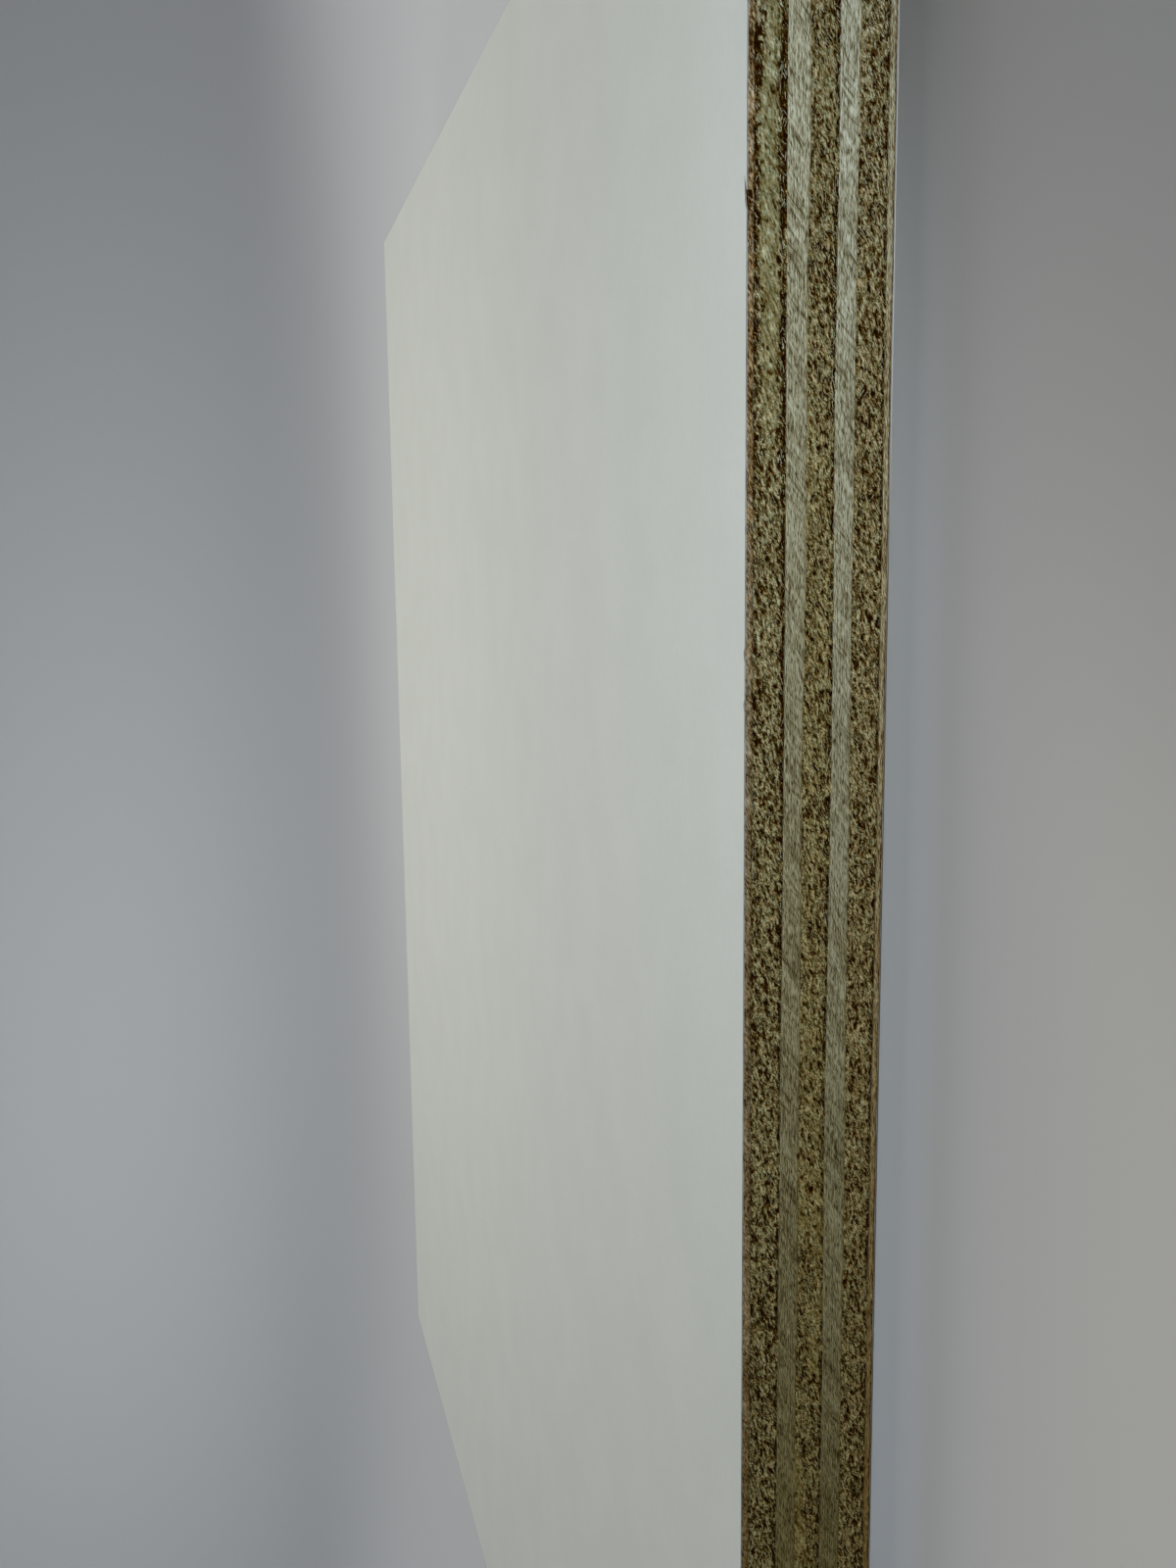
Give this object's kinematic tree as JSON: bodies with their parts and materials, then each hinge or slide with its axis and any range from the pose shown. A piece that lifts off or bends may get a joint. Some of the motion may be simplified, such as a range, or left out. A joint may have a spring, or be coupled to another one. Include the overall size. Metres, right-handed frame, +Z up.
{
  "type": "plywood sheet",
  "caption": "Flat piece of plywood with a white film on both faces and bare sawn edges that show crosswise veneers.",
  "frame": {"origin": "middle of the bottom face", "axes": "+Z up through the layers, +X along the grain of the outer veneers and the longer side, +Y across"},
  "size_m": [0.378, 0.337, 0.018],
  "materials": {
    "white_film": "satin",
    "outer_veneer": "sawn",
    "end_grain_ply": "rough sawn",
    "long_grain_ply": "sawn"
  },
  "bodies": {
    "root": {"back_film": "white_film", "back_veneer": "outer_veneer", "lower_crossband": "end_grain_ply", "lower_long_ply": "long_grain_ply", "core_ply": "end_grain_ply", "upper_long_ply": "long_grain_ply", "upper_crossband": "end_grain_ply", "face_veneer": "outer_veneer", "face_film": "white_film"}
  },
  "joints": []
}
